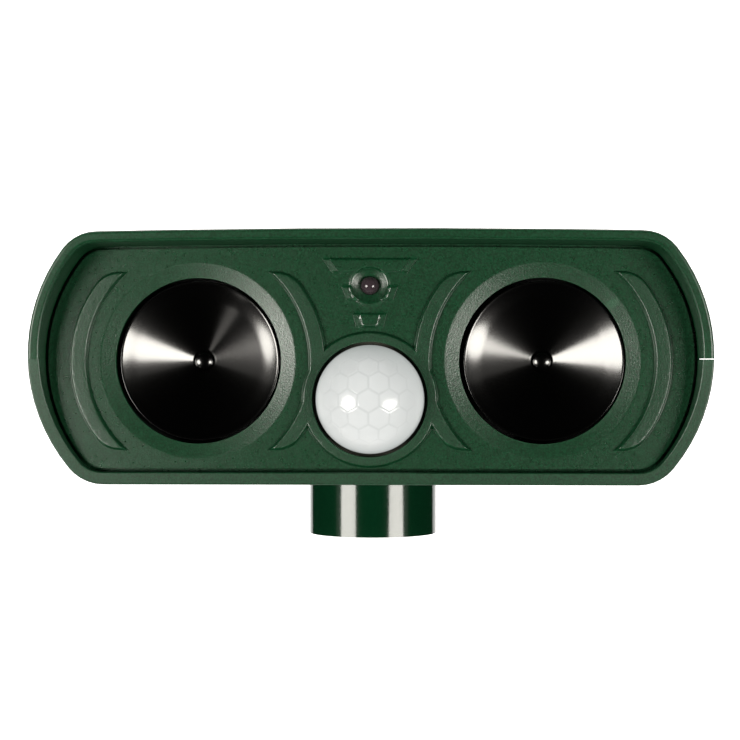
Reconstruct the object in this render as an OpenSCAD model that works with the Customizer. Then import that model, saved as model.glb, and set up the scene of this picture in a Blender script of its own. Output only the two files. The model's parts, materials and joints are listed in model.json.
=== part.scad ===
// Pole-mounted ultrasonic pest repeller: two housing shells, a recessed front plate with two
// speakers, a motion sensor and a lamp, a board stack, rear controls and a battery bay.
// X runs to the right, the front faces -Y, Z is up; the origin is the centre of the socket's mouth.

/* [Housing] */
// Height of the parting plane above the socket's mouth
part_z = 50; // [49.8:0.1:50.2]
// Radius of the housing's bowed ends
side_r = 48.2; // [48:0.1:48.4]
// Distance of each bowed end's centre from the middle
side_cx = 44.9; // [44.7:0.1:45.1]
// Radius of the four outline corners
corner_r = 12; // [11.8:0.1:12.2]
// How far the top is crowned upwards at the middle
top_crown = 0.7; // [0.4:0.1:0.9]
// Wall thickness of the shells
wall = 2.4; // [2.3:0.1:2.5]
// Place of the rear face
back_y = 42; // [41.9:0.1:42.1]
// Place of the front rim at the parting plane
rim_y = -35; // [-35.4:0.1:-34.6]
// How far the rim's plane leans forward at the top, in degrees
rim_lean = 8.25; // [8:0.05:8.4]

/* [Pole socket] */
// Outer radius of the socket
socket_outer_r = 18.25; // [18:0.05:18.3]
// Radius of the socket's bore
socket_bore_r = 15.6; // [15:0.1:15.8]
// Depth of the socket's bore
socket_depth = 33; // [30:1:34]

/* [Front plate] */
// Place of the plate's front face
plate_y = -28; // [-28.1:0.1:-27.9]
// Thickness of the plate
plate_t = 2.4; // [2.3:0.1:2.4]
// Height of the raised crescents and of the sensor's ring
relief = 1.2; // [0.7:0.1:1.3]
// Height of the tapering bars
bar_relief = 0.5; // [0.4:0.1:1]
// Distance of each speaker from the middle
speaker_x = 47.3; // [47.2:0.1:47.5]
// Speakers' height relative to the parting plane
speaker_dz = -0.5; // [-0.7:0.1:-0.3]
// Radius of a speaker's hole
speaker_hole_r = 22.85; // [22.7:0.05:23]
// Radius of a speaker's cone
cone_r = 21.9; // [21.8:0.1:22]
// Depth of a speaker's cone
cone_depth = 10.6; // [10.3:0.1:10.8]
// Motion sensor's height relative to the parting plane
pir_dz = -11.1; // [-11.2:0.1:-11]
// Radius of the motion sensor's dome
pir_r = 15; // [14.8:0.1:15]
// Lamp's height relative to the parting plane
led_dz = 20.2; // [20:0.1:20.4]

/* [Controls] */
// Distance of each knob from the middle
knob_x = 45; // [44.5:0.5:45.5]
// Height of the knobs
knob_z = 67; // [66.8:0.1:67.2]
// Radius of a knob
knob_r = 8; // [7:0.1:8.4]
// Travel of the slide switch
switch_travel = 4; // [3:0.5:4]

/* [Power] */
// Radius of a battery cell
cell_r = 7.1; // [7:0.05:7.1]
// Length of a battery cell with its button
cell_l = 50.4; // [50:0.1:50.5]

/* [Hidden] */
$fn = 64;
eps = 0.01;
gap = 0.12;
tangent_a = 38.4;
corner_cx = side_cx + (side_r - corner_r) * cos(tangent_a);
corner_cz = (side_r - corner_r) * sin(tangent_a);
half_h = corner_cz + corner_r;
rear_round = 6;
inner_back_y = back_y - wall;
plate_back_y = plate_y + plate_t;
speaker_z = part_z + speaker_dz;
pir_z = part_z + pir_dz;
led_z = part_z + led_dz;
groove_inset = 2.6;
plate_inset = groove_inset + 0.2;
ledge_inset = 4.2;
ledge_y = plate_back_y + 1.7;
pir_hole_r = pir_r + 0.9;
pir_ring_r = pir_r + 3.4;
pir_centre_y = plate_y + 2;
dish_depth = 0.9;
dish_w = 4.05;
dish_over = 0.3;
led_dish_r = 4.8;
led_dish_depth = 0.95;
led_hole_r = 2.65;
screw_r = 1.5;
pilot_r = screw_r + 0.02;
case_screws = [[76, -4], [76, 28], [-76, -4], [-76, 28]];
case_seat_z = 32;
frame_r = 25.5;
frame_back_y = -8.2;
gasket_t = 0.8;
frame_front_y = plate_back_y + gasket_t;
ear_t = 2.5;
ear_at = 19.8;
cone_front_y = plate_y + 1;
cone_shift = 0.4;
piezo_y = cone_front_y + cone_depth + 0.35;
board_y = -21.6;
board_t = 1.6;
board_back_y = board_y + board_t;
board_posts = [[17.5, 75], [17.5, 51], [-17.5, 75], [-17.5, 51]];
ctrl_y = 27.4;
ctrl_t = 1.6;
ctrl_back_y = ctrl_y + ctrl_t;
ctrl_posts = [[57, 75], [24, 75], [-57, 75], [-24, 75]];
shaft_r = 3;
switch_z = 70;
jack_z = 57;
cap_axis_x = 9.5;
cap_axis_y = back_y + 2.5;
cell_y = 28.1;
cell_low_z = part_z - 23.05;
cell_high_z = part_z - 8.7;
bay_x = 56;
bay_front_y = 19.6;
bay_back_y = 36;
bay_top_z = part_z - 0.3;
bay_low_z = part_z - 31.4;
door_x = 63.7;
door_low_z = part_z - 28.5;
door_top_z = part_z - 3.5;
door_y = back_y - 2;
door_gap = 0.3;
door_screw_x = 61.6;
door_screw_z = part_z - 16;
bay_screw_x = 60.5;
bay_screw_y = 23;
wire_r = 0.6;
wire_sides = 8;
wire_gap = 0.25;
green = [0.04, 0.23, 0.13];
black = [0.05, 0.05, 0.06];
steel = [0.72, 0.73, 0.75];

// ---- shared geometry ----

// An arc's points about a centre, from one angle to another
function arc(cx, cz, r, a0, a1, n) =
  [for (i = [0:n]) [cx + r * cos(a0 + (a1 - a0) * i / n), cz + r * sin(a0 + (a1 - a0) * i / n)]];

// The housing's outline in X and Z about the parting plane, moved inwards by inset
function outline(inset) = concat(
  arc(corner_cx, -corner_cz, corner_r - inset, -90, -tangent_a, 5),
  arc(side_cx, 0, side_r - inset, -tangent_a + 5, tangent_a - 5, 14),
  arc(corner_cx, corner_cz, corner_r - inset, tangent_a, 90, 5),
  [for (i = [1:7]) let (u = 1 - i / 4)
    [corner_cx * u, half_h - inset + top_crown * (1 - u * u)]],
  arc(-corner_cx, corner_cz, corner_r - inset, 90, 180 - tangent_a, 5),
  arc(-side_cx, 0, side_r - inset, 185 - tangent_a, 175 + tangent_a, 14),
  arc(-corner_cx, -corner_cz, corner_r - inset, 180 + tangent_a, 270, 5));

// A slab with the housing's outline between two depths
module slab(inset, y0, y1) {
  translate([0, y1, part_z])
    rotate([90, 0, 0])
      linear_extrude(y1 - y0)
        polygon(outline(inset));
}

// Local Z points out of the front, local Y points up
module facing_front(x, y, z) {
  translate([x, y, z]) rotate([90, 0, 0]) children();
}

// Local Z points out of the rear, local Y points down
module facing_rear(x, y, z) {
  translate([x, y, z]) rotate([-90, 0, 0]) children();
}

module box(low, high) {
  translate(low) cube(high - low);
}

module tube(r_out, r_in, h) {
  difference() {
    cylinder(r = r_out, h = h);
    translate([0, 0, -1]) cylinder(r = r_in, h = h + 2);
  }
}

// A screw along local Z: its head's underside is at 0 and its tip is at -length
module screw(r, length, head_r, head_h) {
  difference() {
    union() {
      translate([0, 0, -length]) cylinder(r = r, h = length + 0.1);
      cylinder(r = head_r, h = head_h);
    }
    for (a = [0, 90]) {
      rotate([0, 0, a])
        translate([-head_r * 0.6, -0.35, head_h * 0.4]) cube([head_r * 1.2, 0.7, head_h]);
    }
  }
}

// A smooth run through a list of points
function blend_point(p, i, t) =
  let (a = p[max(i - 1, 0)], b = p[i], c = p[i + 1], d = p[min(i + 2, len(p) - 1)])
  0.5 * (2 * b + (c - a) * t + (2 * a - 5 * b + 4 * c - d) * t * t
    + (3 * b - a - 3 * c + d) * t * t * t);
function smooth(p, n) = concat(
  [for (i = [0:len(p) - 2]) for (k = [0:n - 1]) blend_point(p, i, k / n)],
  [p[len(p) - 1]]);
function unit(v) = v / norm(v);

// A round wire swept along a list of points
module sweep(p, r, sides) {
  up = [0.31, 0.23, 0.92];
  n = len(p);
  rings = [for (i = [0:n - 1])
    let (t = unit(p[min(i + 1, n - 1)] - p[max(i - 1, 0)]),
         u = unit(cross(t, up)),
         v = cross(u, t))
    for (k = [0:sides - 1])
      p[i] + r * (cos(360 * k / sides) * u + sin(360 * k / sides) * v)];
  walls = [for (i = [0:n - 2]) for (k = [0:sides - 1])
    let (a = i * sides + k, b = i * sides + (k + 1) % sides)
    each [[a, b, b + sides], [a, b + sides, a + sides]]];
  caps = [[for (k = [sides - 1:-1:0]) k], [for (k = [0:sides - 1]) (n - 1) * sides + k]];
  polyhedron(rings, concat(walls, caps));
}

// ---- housing ----

module outer_body() {
  hull() {
    slab(0, -42, back_y - rear_round);
    for (a = [30, 60, 90]) {
      slab(rear_round * (1 - cos(a)), back_y - rear_round * (1 - sin(a)) - eps,
        back_y - rear_round * (1 - sin(a)));
    }
  }
}

module cavity() {
  hull() {
    slab(2.65, -46, -45);
    slab(3.6, plate_y - 0.15, plate_y - 0.15 + eps);
  }
  slab(groove_inset, plate_y - 0.15, plate_back_y + 0.15);
  slab(ledge_inset, plate_back_y, ledge_y);
  hull() {
    slab(wall, ledge_y - eps, back_y - rear_round);
    slab(rear_round + 0.6, inner_back_y - eps, inner_back_y);
  }
}

// Everything in front of the leaning rim
module rim_cut() {
  translate([0, rim_y, part_z])
    rotate([rim_lean, 0, 0])
      translate([-150, -100, -100]) cube([300, 100, 200]);
}

module upper_shell() {
  color(green)
  difference() {
    union() {
      difference() {
        outer_body();
        cavity();
      }
      for (p = case_screws) translate([p[0], p[1], part_z]) cylinder(r = 3.8, h = 31.2);
      for (p = ctrl_posts) {
        facing_rear(p[0], ctrl_back_y, p[1]) cylinder(r = 3, h = inner_back_y - ctrl_back_y + 0.4);
      }
    }
    rim_cut();
    translate([-150, -100, -50]) cube([300, 200, part_z + gap + 50]);
    for (p = case_screws) translate([p[0], p[1], part_z - 1]) cylinder(r = pilot_r, h = 13);
    for (p = ctrl_posts) facing_rear(p[0], ctrl_back_y - 1, p[1]) cylinder(r = 1.12, h = 9);
    for (s = [-1, 1]) facing_rear(s * knob_x, 38, knob_z) cylinder(r = shaft_r + 0.5, h = 6);
    box([-4.1, 38, switch_z - 1.7], [4.1, 44, switch_z + 1.7]);
    facing_rear(0, 38, jack_z) cylinder(r = 5.1, h = 6);
  }
}

module lower_shell() {
  color(green)
  difference() {
    union() {
      difference() {
        outer_body();
        cavity();
      }
      cylinder(r = socket_outer_r, h = socket_depth + 3);
      for (p = case_screws) translate([p[0], p[1], 18.9]) cylinder(r = 4.6, h = part_z - 18.9);
      for (s = [-1, 1]) {
        translate([s * bay_screw_x, bay_screw_y, 17]) cylinder(r = 2.9, h = 13);
        facing_rear(s * door_screw_x, 31, door_screw_z) cylinder(r = 3, h = 7);
      }
      box([-66, 37.6, part_z - 31], [66, inner_back_y + 0.1, part_z]);
    }
    rim_cut();
    translate([-150, -100, part_z - gap]) cube([300, 200, 100]);
    translate([0, 0, -1]) cylinder(r = socket_bore_r, h = socket_depth + 1);
    for (p = case_screws) {
      translate([p[0], p[1], 5]) cylinder(r = 3.2, h = case_seat_z - 5);
      translate([p[0], p[1], 20]) cylinder(r = screw_r + 0.2, h = 40);
    }
    for (s = [-1, 1]) {
      translate([s * bay_screw_x, bay_screw_y, 21]) cylinder(r = 1.12, h = 20);
      facing_rear(s * door_screw_x, 32, door_screw_z) cylinder(r = pilot_r, h = 12);
    }
    box([-door_x - door_gap, 39.2, door_low_z - door_gap],
      [door_x + door_gap, 46, door_top_z + door_gap]);
    box([-55.5, 34, door_low_z + 1.7], [55.5, 46, door_top_z - 1.7]);
  }
}

module shell_screws() {
  color(steel)
  for (p = case_screws) {
    translate([p[0], p[1], case_seat_z - 0.02]) rotate([180, 0, 0]) screw(screw_r, 28, 2.8, 2.2);
  }
}

// ---- front plate ----

// The crescent on the +X side of a speaker, in the plate's own X and Y: its outer edge is
// about the speaker's middle, its inner edge about a point behind it, with round outer corners
module crescent() {
  band_in = 32.7;
  behind = 2.2;
  band_out = 34.9;
  reach = 24.3;
  tip_r = 8;
  tip_y = reach - tip_r;
  tip_x = sqrt((band_out - tip_r) * (band_out - tip_r) - tip_y * tip_y);
  out_a = atan2(tip_y, tip_x);
  in_a = asin(reach / band_in);
  polygon(concat(
    arc(0, 0, band_out, -out_a, out_a, 16),
    arc(tip_x, tip_y, tip_r, out_a + 9, 90, 4),
    arc(-behind, 0, band_in, in_a, -in_a, 20),
    arc(tip_x, -tip_y, tip_r, -90, -out_a - 9, 4)));
}

// One of the stacked tapering bars above the sensor, with sloping ends
module bar(top_z, low_z, outer_w, top_w, low_w) {
  facing_front(0, plate_y + 0.1, part_z) hull() {
    linear_extrude(eps)
      polygon([[-outer_w / 2, top_z + 0.2], [outer_w / 2, top_z + 0.2],
        [low_w / 2 + 2.1, low_z - 0.2], [-low_w / 2 - 2.1, low_z - 0.2]]);
    translate([0, 0, bar_relief + 0.1 - eps]) linear_extrude(eps)
      polygon([[-top_w / 2, top_z], [top_w / 2, top_z], [low_w / 2, low_z], [-low_w / 2, low_z]]);
  }
}

module front_plate() {
  color([0.1, 0.3, 0.19])
  difference() {
    union() {
      slab(plate_inset, plate_y, plate_back_y);
      for (s = [-1, 1]) for (side = [0, 180]) {
        facing_front(s * speaker_x, plate_y + 0.1, speaker_z)
          rotate([0, 0, side]) linear_extrude(relief + 0.1) crescent();
      }
      facing_front(0, plate_y + 0.1, pir_z) cylinder(r = pir_ring_r, h = relief + 0.2);
      bar(27.4, 23.9, 26, 21.7, 16.9);
      bar(19.8, 16.4, 16, 11.2, 8.7);
      bar(12.35, 9, 9, 5.1, 3.5);
      for (p = board_posts) {
        facing_front(p[0], board_y, p[1]) cylinder(r = 2.6, h = board_y - plate_back_y + 0.5);
      }
      for (s = [-1, 1]) for (a = [-1, 1]) for (b = [-1, 1]) {
        facing_front(s * speaker_x + a * ear_at, frame_front_y - 0.05, speaker_z + b * ear_at)
          cylinder(r = 2.6, h = 1);
      }
    }
    for (s = [-1, 1]) facing_front(s * speaker_x, plate_back_y + 2, speaker_z) {
      cylinder(r = speaker_hole_r, h = 10, $fn = 96);
      translate([0, 0, plate_t + 2 - dish_depth]) {
        cylinder(r1 = speaker_hole_r, r2 = speaker_hole_r + dish_w * (1 + dish_over / dish_depth),
          h = dish_depth + dish_over, $fn = 96);
      }
    }
    facing_front(0, plate_back_y + 2, pir_z) cylinder(r = pir_hole_r, h = 10);
    facing_front(0, plate_back_y + 2, led_z) {
      cylinder(r = led_hole_r, h = 10);
      translate([0, 0, 2 + plate_t - led_dish_depth]) {
        cylinder(r1 = led_hole_r, r2 = led_dish_r, h = led_dish_depth);
      }
      translate([0, 0, 2 + plate_t - eps]) cylinder(r = led_dish_r, h = 3);
    }
    for (p = board_posts) facing_front(p[0], board_y + 1, p[1]) cylinder(r = 0.92, h = 6);
    for (s = [-1, 1]) for (a = [-1, 1]) for (b = [-1, 1]) {
      facing_front(s * speaker_x + a * ear_at, frame_front_y + 1, speaker_z + b * ear_at)
        cylinder(r = 1.12, h = 3.9);
    }
  }
}

// ---- speakers ----

module speaker_gasket(s) {
  color(black)
  facing_front(s * speaker_x, frame_front_y, speaker_z)
    tube(frame_r - 0.3, 23.2, gasket_t - 0.02);
}

module speaker_frame(s) {
  depth = frame_back_y - frame_front_y;
  rest_h = frame_back_y - piezo_y - 0.45;
  floor_t = 1.8;
  color(black)
  facing_front(s * speaker_x, frame_back_y, speaker_z) {
    difference() {
      union() {
        cylinder(r = 24.4, h = depth);
        translate([0, 0, depth - ear_t]) cylinder(r = frame_r, h = ear_t);
        for (a = [45:90:315]) {
          rotate([0, 0, a]) translate([0, 0, depth - ear_t]) {
            translate([ear_at * sqrt(2), 0, 0]) cylinder(r = 3, h = ear_t);
            translate([24, -2.5, 0]) cube([4, 5, ear_t]);
          }
        }
      }
      translate([0, 0, floor_t]) difference() {
        cylinder(r = 22.9, h = depth);
        translate([0, 0, -1]) cylinder(r = 14.4, h = rest_h - floor_t + 1);
      }
      translate([0, 0, floor_t]) cylinder(r = 12.4, h = depth);
      for (a = [45:90:315]) {
        rotate([0, 0, a]) translate([ear_at * sqrt(2), 0, -1]) cylinder(r = 1.35, h = depth + 2);
      }
      for (a = [0:60:300]) {
        rotate([0, 0, a]) translate([18.5, 0, -1]) cylinder(r = 1.6, h = 4);
      }
    }
  }
}

// A concave metal cone with a flatter rim and a small dome at its centre
module speaker_cone(s) {
  t = 0.5;
  flare_r = 20.6;
  flare_d = 0.35;
  dome_r = 2.85;
  deep = cone_depth - 1.2;
  color([0.05, 0.05, 0.05])
  facing_front(s * speaker_x + cone_shift, cone_front_y, speaker_z)
    rotate_extrude($fn = 96)
      polygon([[cone_r, 0], [flare_r, -flare_d], [dome_r, -deep], [dome_r * 0.72, -deep + 0.75],
        [dome_r * 0.36, -deep + 1.15], [0, -deep + 1.3], [0, -cone_depth - 0.3],
        [dome_r, -cone_depth - 0.3], [dome_r + 0.3, -deep - t], [flare_r, -flare_d - t],
        [cone_r, -t]]);
}

module piezo_disc(s) {
  color([0.78, 0.63, 0.3])
  facing_front(s * speaker_x + cone_shift, piezo_y + 0.4, speaker_z) {
    cylinder(r = 13.5, h = 0.35);
    translate([0, 0, -0.25]) cylinder(r = 10, h = 0.3);
  }
}

module speaker_screws() {
  color(steel)
  for (s = [-1, 1]) for (a = [-1, 1]) for (b = [-1, 1]) {
    facing_rear(s * speaker_x + a * ear_at, frame_front_y + ear_t + 0.02,
      speaker_z + b * ear_at) screw(1.1, 5, 2.2, 1.6);
  }
}

// ---- sensor, lamp and main board ----

module pir_lens() {
  dome_t = 0.8;
  flange_r = pir_r + 2.8;
  color([0.92, 0.93, 0.92])
  facing_front(0, plate_back_y + 1.02, pir_z) difference() {
    union() {
      translate([0, 0, plate_back_y + 1.02 - pir_centre_y]) intersection() {
        sphere(r = pir_r, $fn = 96);
        cylinder(r = pir_r + 1, h = pir_r + 1);
      }
      cylinder(r = pir_r, h = plate_back_y + 1.02 - pir_centre_y + eps, $fn = 96);
      cylinder(r = flange_r, h = 1, $fn = 96);
    }
    translate([0, 0, plate_back_y + 1.02 - pir_centre_y]) sphere(r = pir_r - dome_t, $fn = 96);
    translate([0, 0, -1]) {
      cylinder(r = pir_r - dome_t, h = plate_back_y + 2.02 - pir_centre_y, $fn = 96);
    }
  }
}

module pir_sensor() {
  color(steel)
  facing_front(0, board_y - 0.02, pir_z) {
    cylinder(r = 4.9, h = 0.5);
    cylinder(r = 4.2, h = 2.6);
    translate([-1.9, -1.5, 2.5]) cube([3.8, 3, 0.3]);
  }
}

module status_lamp() {
  bulb_r = 2.5;
  color([0.3, 0.32, 0.32])
  facing_front(0, board_y - 0.02, led_z) {
    cylinder(r = bulb_r, h = 5.2);
    translate([0, 0, 5.2]) sphere(r = bulb_r);
  }
}

module main_board() {
  color([0.1, 0.35, 0.16])
  difference() {
    box([-20.5, board_y, 27], [20.5, board_back_y, 78]);
    for (p = board_posts) facing_front(p[0], 0, p[1]) cylinder(r = 1.2, h = 40);
    for (s = [-1, 1]) facing_front(s * 20.5, 0, 33) cylinder(r = 2.2, h = 40);
  }
}

module board_screws() {
  color(steel)
  for (p = board_posts) {
    facing_rear(p[0], board_back_y + 0.02, p[1]) screw(0.9, 5.4, 1.9, 1.4);
  }
}

module controller_chip() {
  color(black)
  facing_rear(0, board_back_y + 0.02, 52.5) {
    translate([-9.6, -3.2, 0.6]) cube([19.2, 6.4, 3.2]);
    for (i = [0:6]) for (b = [-1, 1]) {
      translate([-7.62 + i * 2.54 - 0.25, b * 3.75 - 0.55, 0]) cube([0.5, 1.1, 1.6]);
    }
  }
}

module capacitors() {
  color([0.12, 0.14, 0.2])
  for (p = [[-12, 62, 4, 11], [0, 63, 4, 11], [11.5, 62, 3.15, 8]]) {
    facing_rear(p[0], board_back_y + 0.02, p[1]) {
      cylinder(r = p[2], h = p[3]);
      cylinder(r = p[2] + 0.25, h = 0.9);
    }
  }
}

module drive_transformer(s) {
  color([0.16, 0.16, 0.17])
  facing_rear(s * 12.5, board_back_y + 0.02, 41.5) {
    for (z = [0, 6.2]) translate([-4.6, -4.6, z]) cube([9.2, 9.2, 1.4]);
    for (x = [-4.6, 3.4]) translate([x, -4.6, 1.3]) cube([1.2, 9.2, 5]);
    translate([0, 0, 1.3]) cylinder(r = 3.2, h = 5);
  }
}

// ---- rear controls ----

module control_board() {
  color([0.1, 0.35, 0.16])
  difference() {
    box([-61, ctrl_y, 60], [61, ctrl_back_y, 78.4]);
    for (p = ctrl_posts) facing_rear(p[0], 20, p[1]) cylinder(r = 1.35, h = 20);
    box([-8, 20, 50], [8, 40, 65]);
  }
}

module control_board_screws() {
  color(steel)
  for (p = ctrl_posts) {
    facing_front(p[0], ctrl_y - 0.02, p[1]) screw(1.1, 7, 2.2, 1.6);
  }
}

module pot(s) {
  color([0.2, 0.36, 0.55])
  facing_rear(s * knob_x, ctrl_back_y + 0.02, knob_z) difference() {
    union() {
      translate([-6, -6, 0]) cube([12, 12, 6]);
      translate([0, 0, 5.9]) cylinder(r = 4.2, h = 4);
    }
    translate([0, 0, 3]) cylinder(r = shaft_r + 0.05, h = 10);
  }
}

module shaft(s) {
  color(steel)
  facing_rear(s * knob_x, ctrl_back_y + 3.2, knob_z) cylinder(r = shaft_r, h = 15);
}

// A fluted knob with a pointer rib
module knob(s) {
  height = 6;
  flutes = 18;
  color(black)
  facing_rear(s * knob_x, back_y + 0.4, knob_z) {
    difference() {
      union() {
        cylinder(r = knob_r, h = height - 0.8);
        translate([0, 0, height - 0.8 - eps]) {
          cylinder(r1 = knob_r, r2 = knob_r - 0.8, h = 0.8 + eps);
        }
      }
      translate([0, 0, -1]) cylinder(r = shaft_r + 0.02, h = 6);
      for (i = [0:flutes - 1]) {
        rotate([0, 0, (i + 0.5) * 360 / flutes])
          translate([knob_r + 0.35, 0, -1]) cylinder(r = 0.9, h = height + 2, $fn = 24);
      }
    }
    translate([-0.6, -knob_r + 1.2, height - 0.2]) cube([1.2, knob_r - 2, 0.7]);
  }
}

module switch_body() {
  color(steel)
  facing_rear(0, ctrl_back_y + 0.02, switch_z) difference() {
    translate([-6.5, -3.5, 0]) cube([13, 7, 7]);
    translate([-5.3, -2, 3]) cube([10.6, 4, 3]);
    translate([-4.3, -1.6, 3]) cube([8.6, 3.2, 6]);
  }
}

module switch_slider() {
  rest_x = -switch_travel / 2;
  color(black)
  facing_rear(rest_x, ctrl_back_y + 0.02, switch_z) {
    translate([-2.8, -1.7, 3.4]) cube([5.6, 3.4, 2.2]);
    translate([-1.5, -1.2, 5.5]) cube([3, 2.4, 9.3]);
  }
}

// ---- power inlet ----

module dc_jack() {
  color(black)
  facing_rear(0, 28, jack_z) {
    difference() {
      union() {
        cylinder(r = 5, h = back_y - 28 + 0.1);
        translate([0, 0, back_y - 28 + 0.02]) cylinder(r = 7, h = 1.4);
      }
      translate([0, 0, 6]) cylinder(r = 2.85, h = 20);
    }
    translate([0, 0, 5.9]) cylinder(r = 0.95, h = 7.4);
  }
}

module dc_jack_nut() {
  color(steel)
  facing_rear(0, inner_back_y - 2.02, jack_z) difference() {
    cylinder(r = 7.2, h = 2, $fn = 6);
    translate([0, 0, -1]) cylinder(r = 5.02, h = 4);
  }
}

module dc_port_cap() {
  color(black)
  facing_rear(0, back_y + 1.5, jack_z) {
    translate([0, 0, -1.2]) cylinder(r = 2.3, h = 1.3);
    cylinder(r = 6.6, h = 2);
    translate([0, -2, 0.6]) cube([cap_axis_x - 0.7, 4, 0.8]);
  }
}

module dc_cap_strap() {
  color(black) {
    translate([cap_axis_x, cap_axis_y, jack_z - 2]) cylinder(r = 0.4, h = 4);
    facing_rear(cap_axis_x, back_y + 0.02, jack_z) {
      translate([0, -2, cap_axis_y - back_y - 0.42]) cube([4.2, 4, 0.8]);
      translate([2.6, 0, 0]) cylinder(r = 1.8, h = cap_axis_y - back_y + 0.5);
    }
  }
}

// ---- battery bay ----

module battery_box() {
  t = 1.2;
  color([0.13, 0.13, 0.14])
  difference() {
    union() {
      box([-bay_x, bay_front_y, bay_low_z], [bay_x, bay_back_y, bay_top_z]);
      for (s = [-1, 1]) hull() {
        translate([s * bay_screw_x, bay_screw_y, 30.02]) cylinder(r = 3, h = 2);
        translate([s * (bay_x - 0.5), bay_screw_y, 30.02]) cylinder(r = 3, h = 2);
      }
    }
    box([-bay_x + t, bay_front_y + t, bay_low_z + t], [bay_x - t, 40, bay_top_z - t]);
    for (s = [-1, 1]) {
      translate([s * bay_screw_x, bay_screw_y, 20]) cylinder(r = 1.35, h = 20);
    }
    box([40, 18, 44], [42, 22, 46]);
    box([46, 18, 44], [48, 22, 46]);
  }
}

module battery_box_screws() {
  color(steel)
  for (s = [-1, 1]) {
    translate([s * bay_screw_x, bay_screw_y, 32.04]) screw(1.1, 9, 2.2, 1.6);
  }
}

// One cell along X: its button faces +X when way is 1
module cell(x, z, way) {
  body_l = cell_l - 1.2;
  color([0.2, 0.2, 0.22])
  translate([x, cell_y, z]) rotate([0, 90 * way, 0]) {
    translate([0, 0, -cell_l / 2]) cylinder(r = cell_r, h = body_l);
    translate([0, 0, -cell_l / 2]) cylinder(r = 2.7, h = cell_l);
  }
}

module contact_springs() {
  turns = 3;
  steps = 14;
  color(steel)
  for (e = [[-1, cell_low_z], [1, cell_high_z]]) {
    sweep([for (i = [0:turns * steps])
      let (a = 360 * i / steps, u = i / (turns * steps), r = 5 - 2.2 * u)
      [e[0] * (54 - 3.1 * u), cell_y + r * cos(a), e[1] + r * sin(a)]], 0.3, 6);
  }
}

module contact_plates() {
  color(steel)
  for (s = [-1, 1]) {
    for (z = [cell_low_z, cell_high_z]) {
      box([s > 0 ? bay_x - 1.6 : -bay_x + 1.22, cell_y - 6, z - 6],
        [s > 0 ? bay_x - 1.22 : -bay_x + 1.6, cell_y + 6, z + 6]);
    }
  }
}

module battery_door() {
  color(green)
  difference() {
    union() {
      box([-door_x, door_y, door_low_z], [door_x, back_y, door_top_z]);
      for (s = [-1, 1]) {
        facing_rear(s * door_screw_x, door_y - 0.5, door_screw_z) cylinder(r = 2, h = 0.6);
      }
      box([-50, door_y - 1.4, 30], [50, door_y + 0.1, 31.2]);
      box([-50, door_y - 1.4, 38], [50, door_y + 0.1, 39.2]);
    }
    for (s = [-1, 1]) facing_rear(s * door_screw_x, door_y - 2, door_screw_z) {
      cylinder(r = screw_r + 0.2, h = 10);
    }
    for (i = [-3:3]) {
      box([i * 4 - 0.8, back_y - 0.7, door_top_z - 8], [i * 4 + 0.8, back_y + 1, door_top_z - 3]);
    }
  }
}

module battery_door_seal() {
  color(black)
  difference() {
    box([-58.6, 39.22, door_low_z + 0.3], [58.6, door_y - 0.02, door_top_z - 0.3]);
    box([-57, 38, door_low_z + 1.5], [57, 42, door_top_z - 1.5]);
  }
}

module battery_door_screws() {
  color(steel)
  for (s = [-1, 1]) {
    facing_rear(s * door_screw_x, back_y + 0.02, door_screw_z) screw(screw_r, 9, 2.9, 1.3);
  }
}

// ---- wires ----

// A pair of wires side by side, one wire pitch apart along the given direction
module pair(route, aside) {
  pitch = 1.5;
  for (k = [-0.5, 0.5]) {
    color(k < 0 ? [0.7, 0.1, 0.08] : [0.08, 0.08, 0.09])
    sweep(smooth([for (p = route) p + aside * pitch * k], 4), wire_r, wire_sides);
  }
}

module speaker_wires(s) {
  pair([[s * 19.4, board_back_y + wire_gap, 57], [s * 19.4, -14, 57], [s * 20.4, -6, 55],
    [s * 24, -3.6, 52], [s * 32, -2.6, 50], [s * 41, -3, 49.5], [s * speaker_x, -4.6, 49.5],
    [s * speaker_x, frame_back_y + wire_gap, 49.5]],
    [0, 0, 1]);
}

module battery_wires() {
  pair([[44, bay_front_y - 0.4, 45], [44, 17, 45], [41, 12, 47], [34, 4, 49], [26, 0, 56],
    [18, -6, 68], [15, -14, 70], [15, board_back_y + wire_gap, 70]], [0, 0.2, 0.98]);
}

module power_wires() {
  pair([[0, 28 - wire_gap, jack_z], [0, 22, jack_z], [-6, 10, 56.5], [-12, -4, 55], [-14, -14, 54],
    [-14, board_back_y + wire_gap, 54]], [1, 0, 0]);
}

module link_wires() {
  for (k = [-2:2]) {
    color([0.6, 0.6, 0.62])
    sweep(smooth([for (p = [[0, ctrl_y - wire_gap, 74.5], [0, 22, 74.5], [0, 12, 76.5], [0, 0, 76.5],
      [0, -12, 75], [0, board_back_y + wire_gap, 74.5]]) p + [1.5 * k, 0, 0]], 4), wire_r, wire_sides);
  }
}

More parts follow.
